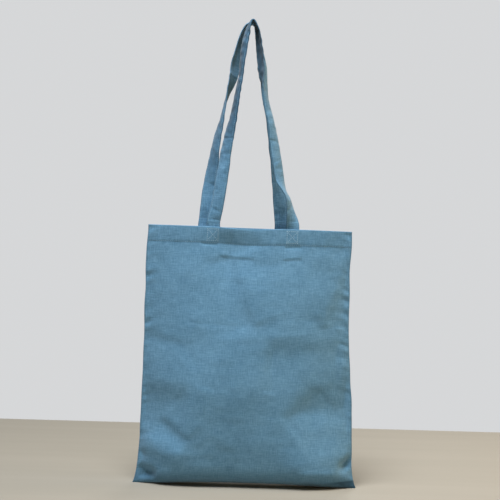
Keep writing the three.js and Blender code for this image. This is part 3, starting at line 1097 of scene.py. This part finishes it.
@dataclass
class Hem(ClothPiece):
    """The band of cloth that is turned down inside one side of the mouth."""

    kind: ClassVar[str] = "hem"
    slot: ClassVar[str] = "body_cotton"
    held: ClassVar[str] = "folded"
    support: ClassVar[str] = "panel"
    columns: int = 140
    rows: int = 14
    depth: float = 28.0
    side_margin: float = 4.0
    cloth: float = 1.0
    gap: float = 0.08
    lip: float = 1.4
    lip_edge: float = 0.12
    edge_wear: float = 0.2
    edge_wear_reach: float = 2.5

    @property
    def width(self) -> float:
        """Width of the band, in millimetres."""
        return 2.0 * (MOUTH_HALF_WIDTH - self.side_margin)

    @property
    def flat(self) -> tuple[float, float]:
        """Width and length that the hem was cut to, in metres."""
        return self.width * MILLIMETRE, self.depth * MILLIMETRE

    def parts(self) -> MeshParts:
        """Make the band.

        Returns:
            The closed mesh of the hem.
        """
        reach = self.width / 2.0 / MOUTH_HALF_WIDTH
        across, share = np.meshgrid(
            reach * (2.0 * spaced(self.columns, self.width, self.lip) - 1.0),
            spaced(self.rows, self.depth, self.lip),
        )
        down = share * self.shape.down_at(self.depth)
        from_side = (reach - np.abs(across)) * MOUTH_HALF_WIDTH
        from_end = np.minimum(share, 1.0 - share) * self.depth
        thickness = self.cloth * rounded(np.minimum(from_side, from_end), self.lip, self.lip_edge)
        outer = self.shape.off(self.side, across, down, np.full(down.shape, -self.gap))
        inner = self.shape.off(self.side, across, down, -self.gap - thickness)
        cloth = np.stack([across * MOUTH_HALF_WIDTH, -share * self.depth], axis=-1) * MILLIMETRE
        wear = self.edge_wear * np.exp(-share * self.depth / self.edge_wear_reach)
        places = [self.hanging.place(points) for points in (inner, outer)]
        return wall(*places, cloth, wear, np.zeros_like(wear), self.side is Side.FRONT)


@dataclass
class Handle(ClothPiece):
    """A strap of folded cotton, both ends sewn inside the hem."""

    kind: ClassVar[str] = "handle"
    slot: ClassVar[str] = "handle_cotton"
    held: ClassVar[str] = "hung"
    support: ClassVar[str] = "hem"
    form: ClassVar[str] = "strap"
    rows: tuple[StrapRow, ...]
    creases: tuple[StrapCrease, ...]
    seed: int
    width: float = 22.0
    thickness: float = 2.0
    step: float = 1.5
    sewn_length: float = 24.0
    sewn_steps: int = 3
    sewn_away: float = 2.25
    # The section is flat between two grooves, which the stitches draw in along the edges.
    flat_places: tuple[float, ...] = (1.8, 3.6, 5.4, 7.0)
    groove_places: tuple[float, ...] = (-0.8, -0.4, 0.0, 0.4, 0.8)
    groove_depth: float = 0.28
    groove_spread: float = 0.7
    seam_inset: float = 2.3
    edge_turns: int = 5
    # Hands have softened the strap round this share of its free length, and painted shade darkens it
    # there.
    grip: float = 2.0
    grip_middle: float = 0.43
    grip_full: float = 0.16
    grip_end: float = 0.30
    grip_wrinkle: float = 1.5
    # Painted shade darkens the strap along both edges.
    edge_soil: float = 0.8
    edge_soil_reach: float = 1.3
    edge_wear: float = 0.05
    edge_wear_reach: float = 0.8
    # Waves fade in between these shares from either end of the free length.
    free_from: float = -0.01
    free_full: float = 0.03
    slow_ripple_span: float = 12.0
    quick_ripple_span: float = 10.0
    crease_bias: float = 0.25
    slow_ripple: Ripple = field(init=False)
    quick_ripple: Ripple = field(init=False)
    waver: Ripple = field(init=False)
    table: dict[str, np.ndarray] = field(init=False)

    def __post_init__(self) -> None:
        """Join the sewn ends to the free rows, and measure along them."""
        self.slow_ripple = Ripple(0.3, 46.0, self.seed)
        self.quick_ripple = Ripple(0.09, 12.0, self.seed + 1)
        self.waver = Ripple(0.2, 34.0, self.seed + 2)
        left = self.sewn_rows(self.rows[0], 0.0)
        right = self.sewn_rows(self.rows[-1], 180.0)
        rows = [*left, *self.rows, *right[::-1]]
        names = [column.name for column in fields(StrapRow)]
        table = {name: np.array([float(getattr(row, name)) for row in rows]) for name in names}
        table["y"] = self.side.value * table.pop("depth")
        route = np.stack([table["x"], table["y"], table["z"]], axis=-1)
        lengths = np.linalg.norm(np.diff(route, axis=0), axis=-1)
        table["key"] = np.concatenate([[0.0], np.cumsum(lengths)])
        self.table = table

    @property
    def length(self) -> float:
        """Length of the strap along its rows, in millimetres."""
        return float(self.table["key"][-1])

    @property
    def flat(self) -> tuple[float, float]:
        """Width and length that the strap was cut to, in metres."""
        return self.width * MILLIMETRE, self.length * MILLIMETRE

    @property
    def free_start(self) -> float:
        """Where the strap leaves the hem, as a length along it."""
        return float(self.table["key"][self.sewn_steps])

    @property
    def free_length(self) -> float:
        """Length of the strap between its two sewn ends."""
        return float(self.table["key"][-1 - self.sewn_steps]) - self.free_start

    def sewn_rows(self, foot: StrapRow, flat_turn: float) -> list[StrapRow]:
        """Lay a sewn end of the strap on the inside of the hem.

        Args:
            foot: The free row above it.
            flat_turn: The turn that lies flat to the front there.

        Returns:
            Rows from the strap's end up to the top edge.
        """
        across = np.array(foot.x / MOUTH_HALF_WIDTH)
        rows = []
        for drop in np.linspace(self.sewn_length, 0.0, self.sewn_steps):
            down = np.array(self.shape.down_at(drop))
            on = self.shape.off(self.side, across, down, np.array(-self.sewn_away))
            lean = self.shape.normal(self.side, across, down)
            turn = flat_turn + math.degrees(math.atan(lean[0] / lean[1]))
            rows.append(StrapRow(foot.x, float(on[2]), abs(float(on[1])), turn, 0.0))
        return rows

    def column(self, name: str, at: np.ndarray) -> np.ndarray:
        """Read a column of the strap's rows at any length along it."""
        return hermite(self.table["key"], self.table[name], at)

    def route(self, at: np.ndarray) -> np.ndarray:
        """Give the strap's middle line at lengths along it."""
        return np.stack([self.column(name, at) for name in ("x", "y", "z")], axis=-1)

    def axes(self, at: np.ndarray) -> tuple[np.ndarray, np.ndarray]:
        """Give the strap's directions at lengths along it.

        Args:
            at: Lengths along the strap.

        Returns:
            The directions across the strap and outwards from it.
        """
        step = 0.5
        ahead = self.route(np.minimum(at + step, self.length))
        forward = unit(ahead - self.route(np.maximum(at - step, 0.0)))
        turn = np.radians(self.column("turn", at))
        across = np.stack([np.cos(turn), -np.sin(turn), np.zeros_like(turn)], axis=-1)
        across = unit(across - forward * np.sum(across * forward, axis=-1, keepdims=True))
        return across, unit(np.cross(across, forward))

    def free_share(self, at: np.ndarray) -> np.ndarray:
        """Give the share of the free length at lengths along the strap."""
        return (at - self.free_start) / self.free_length

    def handled(self, at: np.ndarray) -> np.ndarray:
        """Give how much hands have softened the strap, and how much painted shade darkens it, at lengths
        along it, from 0 to 1.
        """
        from_grip = np.abs(self.free_share(at) - self.grip_middle)
        return 1.0 - smoothstep(from_grip, self.grip_full, self.grip_end)

    def buckle(self, at: np.ndarray, reach: np.ndarray) -> np.ndarray:
        """Give how far the strap's creases and ripples move it outwards.

        Args:
            at: Lengths along the strap.
            reach: Places across it, from -1 to 1.

        Returns:
            Heights in millimetres.
        """
        share = self.free_share(at)
        free = smoothstep(share, self.free_from, self.free_full)
        free = free * smoothstep(1.0 - share, self.free_from, self.free_full)
        soft = free * (1.0 + self.grip_wrinkle * self.handled(at))
        height = free * self.slow_ripple.at(at, self.slow_ripple_span * reach)
        height = height + soft * self.quick_ripple.at(at, self.quick_ripple_span * reach)
        bias = 1.0 - self.crease_bias + self.crease_bias * reach
        for crease in self.creases:
            away = ((share - crease.share) * self.free_length - crease.lean * reach) / crease.spread
            height = height + crease.rise * np.exp(-np.abs(away)) * bias
        return height

    def ring(self) -> tuple[np.ndarray, np.ndarray]:
        """Lay out the strap's section.

        Returns:
            Places across the strap and heights over its middle, once round.
        """
        half = self.width / 2.0
        edge = self.thickness / 2.0
        seam = half - self.seam_inset
        side = np.array([*self.flat_places, *(seam + place for place in self.groove_places)])
        flat = np.concatenate([-side[::-1], [0.0], side])
        groove = np.exp(-(((np.abs(flat) - seam) / self.groove_spread) ** 2))
        top = edge - self.groove_depth * groove
        turns = np.linspace(math.pi / 2.0, -math.pi / 2.0, self.edge_turns + 2)[1:-1]
        round_x = half - edge + edge * np.cos(turns)
        round_h = edge * np.sin(turns)
        places = np.concatenate([flat, round_x, flat[::-1], -round_x[::-1]])
        heights = np.concatenate([top, round_h, -top[::-1], round_h[::-1]])
        return places, heights

    def surface(self, at: np.ndarray, place: np.ndarray, height: np.ndarray) -> np.ndarray:
        """Give points of the strap in the bag's frame.

        Args:
            at: Lengths along the strap.
            place: Places across it, in millimetres from its middle.
            height: Heights over its middle layer.

        Returns:
            The points.
        """
        across, out = self.axes(at)
        reach = 2.0 * place / self.width
        cup = self.column("cup", at) * (1.0 - reach**2)
        aside = place + self.waver.at(at, np.zeros_like(at))
        stand = cup + self.buckle(at, reach) + height
        return self.route(at) + across * aside[..., None] + out * stand[..., None]

    def parts(self) -> MeshParts:
        """Make the strap.

        Returns:
            The closed mesh of the handle.
        """
        places, heights = self.ring()
        steps = round(self.length / self.step)
        at, place = np.meshgrid(np.linspace(0.0, self.length, steps + 1), places, indexing="ij")
        height = np.broadcast_to(heights, place.shape)
        points = self.hanging.place(self.surface(at, place, height))
        rows, columns = place.shape
        index = np.arange(rows * columns).reshape(rows, columns)
        ahead = np.roll(index, -1, axis=1)
        faces = np.stack([index[:-1], index[1:], ahead[1:], ahead[:-1]], axis=-1).reshape(-1, 4)
        half = columns // 2
        caps = []
        for end, turned in ((index[0], False), (index[-1], True)):
            low = end[:half]
            high = end[half:][::-1]
            cap = np.stack([low[:-1], low[1:], high[1:], high[:-1]], axis=-1)
            caps.append(cap[:, ::-1] if turned else cap)
        perimeter = np.concatenate([[0.0], np.cumsum(np.hypot(np.diff(places), np.diff(heights)))])
        cloth = np.stack([np.broadcast_to(perimeter, at.shape), at], axis=-1) * MILLIMETRE
        from_edge = self.width / 2.0 - np.abs(place)
        # Painted shade lies along both edges of the strap and round the part where hands hold it.
        edge_soil = self.edge_soil * np.exp(-from_edge / self.edge_soil_reach)
        return MeshParts(
            corners=points.reshape(-1, 3),
            faces=np.concatenate([faces, *caps]),
            cloth=cloth.reshape(-1, 2),
            wear=self.edge_wear * np.exp(-from_edge / self.edge_wear_reach),
            soil=np.maximum(self.grip * self.handled(at), edge_soil),
        )


@dataclass
class SewnLine:
    """A line of stitches: its points and the way that they face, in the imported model's frame."""

    points: np.ndarray
    facing: np.ndarray


@dataclass
class Stitching:
    """Rows of stitches in one thread, set along their lines by a node tree.

    A stitch's own sizes are in metres, and those of the rows are in millimetres.
    """

    shape: BagShape
    hanging: Hanging
    name: str
    pitch: float = 0.0031
    length: float = 0.0025
    width: float = 0.00085
    height: float = 0.00060
    seed: int = 7
    least_pull: float = 0.86
    most_pull: float = 1.12
    segments: int = 6
    rings: int = 4
    box_half_width: float = 8.6
    box_top: float = 3.6
    box_bottom: float = 22.5
    hem_overrun: float = 1.5
    hem_inset: float = 1.0
    strap_inset: float = 2.0
    line_step: float = 2.0
    lines: list[SewnLine] = field(default_factory=list)

    def sew(self, points: np.ndarray, facing: np.ndarray) -> None:
        """Keep a line, given by its points and the way that they face in the bag's frame."""
        self.lines.append(SewnLine(self.hanging.place(points), self.hanging.turn(facing)))

    def straight(self, side: Side, ends: tuple[Spot, Spot], away: float) -> None:
        """Sew a straight line on a panel.

        Args:
            side: Which panel.
            ends: The line's two ends, by x and drop.
            away: How far off the inner face the stitches lie. Below zero they face inwards.
        """
        (start_x, start_drop), (end_x, end_drop) = ends
        share = np.linspace(0.0, 1.0, max(2, round(math.dist(*ends) / self.line_step)))
        across = (start_x + (end_x - start_x) * share) / MOUTH_HALF_WIDTH
        drops = start_drop + (end_drop - start_drop) * share
        down = np.array([self.shape.down_at(drop) for drop in drops])
        points = self.shape.off(side, across, down, np.full(across.shape, away))
        self.sew(points, self.shape.normal(side, across, down) * math.copysign(1.0, away))

    def hem_rows(self, hem: Hem, cloth: float) -> None:
        """Sew the hem's line, seen from outside and from inside.

        Args:
            hem: The hem that is held.
            cloth: Thickness of the panel outside it.
        """
        line = self.shape.hem_line
        half = hem.width / 2.0 + self.hem_overrun
        inside = hem.width / 2.0 - self.hem_inset
        self.straight(hem.side, ((-half, line), (half, line)), cloth)
        self.straight(hem.side, ((-inside, line), (inside, line)), -hem.gap - hem.cloth)

    def foot_box(self, side: Side, x: float, away: float) -> None:
        """Sew a box with a cross in it where a strap's end is held.

        Args:
            side: Which panel.
            x: The middle of the strap's end.
            away: How far off the inner face the stitches lie. Below zero they face inwards.
        """
        left = x - self.box_half_width
        right = x + self.box_half_width
        top, bottom = self.box_top, self.box_bottom
        corners = [(left, top), (right, top), (right, bottom), (left, bottom)]
        crosses = [(corners[0], corners[2]), (corners[1], corners[3])]
        for ends in [*zip(corners, corners[1:] + corners[:1]), *crosses]:
            self.straight(side, ends, away)

    def strap_edges(self, handle: Handle) -> None:
        """Sew along both edges of a strap, on both of its faces.

        Args:
            handle: The strap's handle.
        """
        at = np.arange(self.strap_inset, handle.length - self.strap_inset, self.line_step)
        seam = handle.width / 2.0 - handle.seam_inset
        depth = handle.thickness / 2.0 - handle.groove_depth
        for place in (-seam, seam):
            for way in (-1.0, 1.0):
                points = handle.surface(at, np.full(at.shape, place), np.full(at.shape, way * depth))
                self.sew(points, handle.axes(at)[1] * way)

    @property
    def inputs(self) -> dict[str, float | int]:
        """The node tree's sizes and seed, by the names of its inputs."""
        return {
            "Pitch": self.pitch,
            "Length": self.length,
            "Width": self.width,
            "Height": self.height,
            "Seed": self.seed,
        }

    def tree(self, material: bpy.types.Material) -> tuple[bpy.types.NodeTree, dict[str, str]]:
        """Build the node tree that sets stitches along lines.

        Args:
            material: The thread.

        Returns:
            The tree, and the identifier of each named input.
        """
        tree = bpy.data.node_groups.new("stitch_rows", "GeometryNodeTree")
        graph = Graph(tree)
        tree.interface.new_socket("Lines", in_out="INPUT", socket_type="NodeSocketGeometry")
        identifiers = {}
        for name, value in self.inputs.items():
            kind = "NodeSocketInt" if isinstance(value, int) else "NodeSocketFloat"
            socket = tree.interface.new_socket(name, in_out="INPUT", socket_type=kind)
            identifiers[name] = socket.identifier
        tree.interface.new_socket("Stitches", in_out="OUTPUT", socket_type="NodeSocketGeometry")
        given = graph.add("NodeGroupInput").outputs
        curve = graph.add("GeometryNodeMeshToCurve", {"Mesh": given["Lines"]})
        spots = {"Curve": curve.outputs[0], "Length": given["Pitch"]}
        points = graph.add("GeometryNodeCurveToPoints", spots, mode="LENGTH").outputs
        along = graph.add("FunctionNodeAlignRotationToVector", {"Vector": points["Tangent"]}, axis="X")
        facing = graph.add("GeometryNodeInputNamedAttribute", {"Name": FACING}, data_type="FLOAT_VECTOR")
        upright = graph.add(
            "FunctionNodeAlignRotationToVector",
            {"Rotation": along.outputs[0], "Vector": facing.outputs[0]},
            axis="Z",
            pivot_axis="X",
        )
        ball_sizes = {"Segments": self.segments, "Rings": self.rings, "Radius": 0.5}
        ball = graph.add("GeometryNodeMeshUVSphere", ball_sizes)
        sizes = {0: given["Length"], 1: given["Width"], 2: given["Height"]}
        size = graph.add("ShaderNodeCombineXYZ", sizes).outputs[0]
        stitch = graph.add("GeometryNodeTransform", {"Geometry": ball.outputs[0], "Scale": size})
        pulls = {"Min": self.least_pull, "Max": self.most_pull, "Seed": given["Seed"]}
        pull = graph.add("FunctionNodeRandomValue", pulls, data_type="FLOAT")
        placed = graph.add(
            "GeometryNodeInstanceOnPoints",
            {
                "Points": points["Points"],
                "Instance": stitch.outputs[0],
                "Rotation": upright.outputs[0],
                "Scale": pull.outputs["Value"],
            },
        )
        plain = graph.add("GeometryNodeRealizeInstances", {"Geometry": placed.outputs[0]})
        smooth = graph.add("GeometryNodeSetShadeSmooth", {"Geometry": plain.outputs[0]})
        dress = {"Geometry": smooth.outputs[0], "Material": material}
        dressed = graph.add("GeometryNodeSetMaterial", dress)
        graph.add("NodeGroupOutput", {"Stitches": dressed.outputs[0]})
        return tree, identifiers

    def build(self, material: bpy.types.Material) -> bpy.types.Object:
        """Set a stitch along every line that was sewn.

        Args:
            material: The thread.

        Returns:
            All the stitches as one plain mesh.
        """
        corners = np.concatenate([line.points for line in self.lines])
        facing = np.concatenate([line.facing for line in self.lines])
        edges = []
        start = 0
        for line in self.lines:
            end = start + len(line.points)
            edges += [(i, i + 1) for i in range(start, end - 1)]
            start = end
        mesh = bpy.data.meshes.new("sewn_lines")
        mesh.from_pydata(corners.tolist(), edges, [])
        attribute = mesh.attributes.new(FACING, "FLOAT_VECTOR", "POINT")
        attribute.data.foreach_set("vector", facing.astype(np.float32).ravel())
        lines = add_object("sewn_lines", mesh)
        tree, identifiers = self.tree(material)
        modifier = lines.modifiers.new("stitches", "NODES")
        modifier.node_group = tree
        for name, value in self.inputs.items():
            modifier[identifiers[name]] = value
        evaluated = lines.evaluated_get(bpy.context.evaluated_depsgraph_get())
        stitches = bpy.data.meshes.new_from_object(evaluated)
        stitches.name = self.name
        bpy.data.objects.remove(lines)
        bpy.data.meshes.remove(mesh)
        return add_object(self.name, stitches)

    def declare(self, piece: bpy.types.Object) -> None:
        """Tell the frame what the stitches ride on."""
        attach(piece, BODY)


@dataclass(frozen=True)
class Lamp:
    """A round soft lamp, in metres and watts."""

    name: str
    place: Place
    aim: Place
    size: float
    power: float
    tone: Colour

    def hang(self) -> None:
        """Hang the lamp and point it at its aim."""
        lamp = bpy.data.lights.new(self.name, "AREA")
        lamp.shape = "DISK"
        lamp.size = self.size
        lamp.energy = self.power
        lamp.color = self.tone
        holder = add_object(self.name, lamp)
        holder.location = self.place
        heading = Vector(self.aim) - Vector(self.place)
        holder.rotation_euler = heading.to_track_quat("-Z", "Y").to_euler()


LAMPS: tuple[Lamp, ...] = (
    Lamp("key", (-0.12, -0.64, 1.5), (0.0, 0.0, -0.45), 1.05, 65.5, (0.97, 1.0, 1.03)),
    Lamp("back light", (0.9, 2.2, 0.9), (0.0, 0.0, -0.5), 1.4, 16.0, (1.0, 0.98, 0.95)),
    Lamp("side bounce", (1.5, 0.05, 0.0), (0.0, 0.0, -0.15), 0.9, 10.0, (1.0, 0.74, 0.42)),
    Lamp("floor bounce", (0.1, -1.0, -0.54), (0.02, 0.0, -0.72), 0.4, 0.55, (1.0, 0.68, 0.22)),
)


@dataclass
class Studio:
    """The floor, the light and the camera, in metres."""

    camera_place: Place = (-0.0056, -1.5, -0.371)
    lens: float = 65.9
    sensor: float = 36.0
    background: Colour = (0.672, 0.68, 0.69)
    # The light from all round is warm from the lower right and cool from the other way.
    fill_light: float = 0.14
    fill_cool: Colour = (0.60, 0.68, 0.78)
    fill_warm: Colour = (0.68, 0.50, 0.08)
    fill_from: Place = (0.5, 0.0, -0.87)
    fill_reach: float = 0.8
    floor_half_width: float = 3.0
    floor_near: float = -2.2
    floor_far: float = 0.51
    # The floor lies this many millimetres under the keel.
    floor_gap: float = 0.2

    def floor(self, hanging: Hanging) -> None:
        """Lay the floor square to the bag, just under its keel.

        Args:
            hanging: How the bag leans.
        """
        half = self.floor_half_width / MILLIMETRE
        near = self.floor_near / MILLIMETRE
        far = self.floor_far / MILLIMETRE
        level = -SECTIONS[-1].drop - self.floor_gap
        corners = [(-half, near, level), (half, near, level), (half, far, level), (-half, far, level)]
        mesh = bpy.data.meshes.new("floor")
        mesh.from_pydata(hanging.place(np.array(corners)).tolist(), [], [(0, 1, 2, 3)])
        mesh.materials.append(FloorFinish().material())
        add_object("floor", mesh)

    def light(self) -> None:
        """Hang the lamps, and light the rest weakly from all round."""
        for lamp in LAMPS:
            lamp.hang()
        world = bpy.data.worlds.new("studio")
        world.use_nodes = True
        bpy.context.scene.world = world
        graph = Graph(world.node_tree)
        seen = graph.add("ShaderNodeBackground", {"Color": (*self.background, 1.0), "Strength": 1.0})
        way = graph.add("ShaderNodeTexCoord").outputs["Generated"]
        warmth = graph.add("ShaderNodeVectorMath", {0: way, 1: self.fill_from}, operation="DOT_PRODUCT")
        limits = {"From Min": -self.fill_reach, "From Max": self.fill_reach}
        share = graph.add("ShaderNodeMapRange", {"Value": warmth.outputs["Value"], **limits})
        fill = graph.blend(share.outputs[0], self.fill_cool, self.fill_warm)
        lit = graph.add("ShaderNodeBackground", {"Color": fill, "Strength": self.fill_light})
        straight = graph.add("ShaderNodeLightPath").outputs["Is Camera Ray"]
        mix = graph.add("ShaderNodeMixShader", {0: straight, 1: lit.outputs[0], 2: seen.outputs[0]})
        graph.add("ShaderNodeOutputWorld", {"Surface": mix.outputs[0]})

    def camera(self) -> None:
        """Stand the camera level in front of the bag."""
        data = bpy.data.cameras.new("camera")
        data.lens = self.lens
        data.sensor_width = self.sensor
        camera = add_object("camera", data)
        camera.location = self.camera_place
        camera.rotation_euler = (math.pi / 2.0, 0.0, 0.0)
        scene = bpy.context.scene
        scene.camera = camera
        scene.view_settings.view_transform = "Standard"
        scene.view_settings.look = "None"


def finish_piece(maker: ClothPiece | Stitching, material: bpy.types.Material) -> None:
    """Args:
        maker: What builds the piece.
        material: Its finish.
    """
    piece = maker.build(material)
    maker.declare(piece)
    LOG.info("%s has %d faces", piece.name, len(piece.data.polygons))


def main() -> None:
    """Build the bag's pieces in order, then the studio round them."""
    logging.basicConfig(level=logging.INFO, format="%(name)s: %(message)s")
    shape = BagShape()
    hanging = Hanging()
    body = CottonFinish("body_cotton").material()
    strap = CottonFinish(
        "handle_cotton",
        deep=(0.062, 0.178, 0.305),
        pale=(0.178, 0.375, 0.570),
        mottle_size=0.020,
        crinkle_size=0.018,
        crinkle_height=0.0016,
        seed=20.0,
    ).material()
    thread = ThreadFinish("thread").material()
    pale_thread = ThreadFinish("pale_thread", (0.34, 0.51, 0.64), (0.24, 0.40, 0.52)).material()
    panels = [Panel(side, shape, hanging) for side in Side]
    hems = [Hem(side, shape, hanging) for side in Side]
    handles = [
        Handle(Side.FRONT, shape, hanging, FRONT_HANDLE, FRONT_STRAP_CREASES, seed=31),
        Handle(
            Side.BACK,
            shape,
            hanging,
            BACK_HANDLE,
            BACK_STRAP_CREASES,
            seed=41,
            # The back strap takes weaker painted shade, nearer its left end.
            grip=1.1,
            grip_middle=0.22,
            grip_full=0.06,
            grip_end=0.16,
        ),
    ]
    for maker in (*panels, *hems):
        finish_piece(maker, body)
    for handle in handles:
        finish_piece(handle, strap)
    seams = Stitching(shape, hanging, "seam_stitches")
    for hem, panel in zip(hems, panels):
        seams.hem_rows(hem, panel.cloth)
    boxes = Stitching(shape, hanging, "box_stitches", width=0.0011)
    for handle, panel in zip(handles, panels):
        for foot in (handle.rows[0], handle.rows[-1]):
            boxes.foot_box(handle.side, foot.x, panel.cloth)
            boxes.foot_box(handle.side, foot.x, -handle.sewn_away - handle.thickness / 2.0)
        seams.strap_edges(handle)
    finish_piece(seams, thread)
    finish_piece(boxes, pale_thread)
    studio = Studio()
    studio.floor(hanging)
    studio.light()
    studio.camera()


if __name__ == "__main__":
    main()
